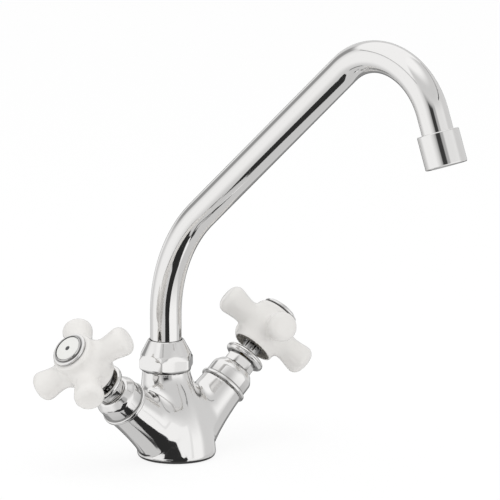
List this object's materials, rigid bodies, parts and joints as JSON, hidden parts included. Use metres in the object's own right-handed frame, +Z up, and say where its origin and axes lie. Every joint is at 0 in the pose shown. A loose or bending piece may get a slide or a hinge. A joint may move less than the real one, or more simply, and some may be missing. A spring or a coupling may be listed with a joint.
{
  "type": "two handle mixer tap",
  "caption": "Single-hole kitchen mixer tap: a cast Y-shaped body, a bent swivel tube spout with an aerator, and cross-shaped porcelain handles on screw-down valves.",
  "frame": {"origin": "centre of the foot, on the deck that the tap stands on", "axes": "+Z up; -Y to the front, where the spout points when it is turned straight forward; +X to the right-hand valve"},
  "size_m": [0.1988, 0.2692, 0.2892],
  "materials": {
    "chrome_plate": "polished chrome plate on brass",
    "brass": "machined",
    "porcelain": "white glaze",
    "rubber": "moulded",
    "nylon": "moulded",
    "fibre": "pressed fibre",
    "index_enamel": "gloss"
  },
  "bodies": {
    "tap_body": {"mixer_body": "chrome_plate", "base_seal": "rubber", "spout_nut": "chrome_plate", "slip_ring": "nylon", "headwork_washer_left": "fibre", "headwork_left": "brass", "bonnet_left": "chrome_plate", "gland_packing_left": "nylon", "gland_nut_left": "chrome_plate", "headwork_washer_right": "fibre", "headwork_right": "brass", "bonnet_right": "chrome_plate", "gland_packing_right": "nylon", "gland_nut_right": "chrome_plate"},
    "spout": {"spout_tube": "chrome_plate", "spout_tail": "brass", "spout_o_ring_upper": "rubber", "spout_o_ring_lower": "rubber", "aerator_case": "chrome_plate", "aerator_insert": "nylon", "aerator_washer": "rubber"},
    "handle_left": {"spindle_left": "brass", "spindle_o_ring_left": "rubber", "stem_collar_left": "chrome_plate", "handle_insert_left": "chrome_plate", "cross_handle_left": "porcelain", "handle_screw_left": "brass", "index_ring_left": "chrome_plate", "index_face_left": "index_enamel"},
    "handle_right": {"spindle_right": "brass", "spindle_o_ring_right": "rubber", "stem_collar_right": "chrome_plate", "handle_insert_right": "chrome_plate", "cross_handle_right": "porcelain", "handle_screw_right": "brass", "index_ring_right": "chrome_plate", "index_face_right": "index_enamel"},
    "plunger_left_body": {"plunger_left": "brass", "seat_washer_left": "rubber", "washer_screw_left": "brass"},
    "plunger_right_body": {"plunger_right": "brass", "seat_washer_right": "rubber", "washer_screw_right": "brass"}
  },
  "joints": [
    {"name": "spout_swivel", "type": "hinge", "parent": "tap_body", "child": "spout", "pos_m": [0, 0.01, 0], "axis": [0, 0, 1], "continuous": true},
    {"name": "handle_left_turn", "type": "hinge", "parent": "tap_body", "child": "handle_left", "pos_m": [0, 0.0044, 0.0028], "axis": [-0.7344, -0.0384, 0.6777], "range_deg": [0, 540]},
    {"name": "plunger_left_lift", "type": "slide", "parent": "tap_body", "child": "plunger_left_body", "axis": [-0.7344, -0.0384, 0.6777], "range_m": [0, 0.0032]},
    {"name": "handle_right_turn", "type": "hinge", "parent": "tap_body", "child": "handle_right", "pos_m": [0, 0.0044, 0.0028], "axis": [0.7344, -0.0384, 0.6777], "range_deg": [0, 540]},
    {"name": "plunger_right_lift", "type": "slide", "parent": "tap_body", "child": "plunger_right_body", "axis": [0.7344, -0.0384, 0.6777], "range_m": [0, 0.0032]}
  ],
  "couplings": [
    {"joint": "plunger_left_lift", "follows": "handle_left_turn", "m_per_rad": 0.00033953},
    {"joint": "plunger_right_lift", "follows": "handle_right_turn", "m_per_rad": 0.00033953}
  ]
}
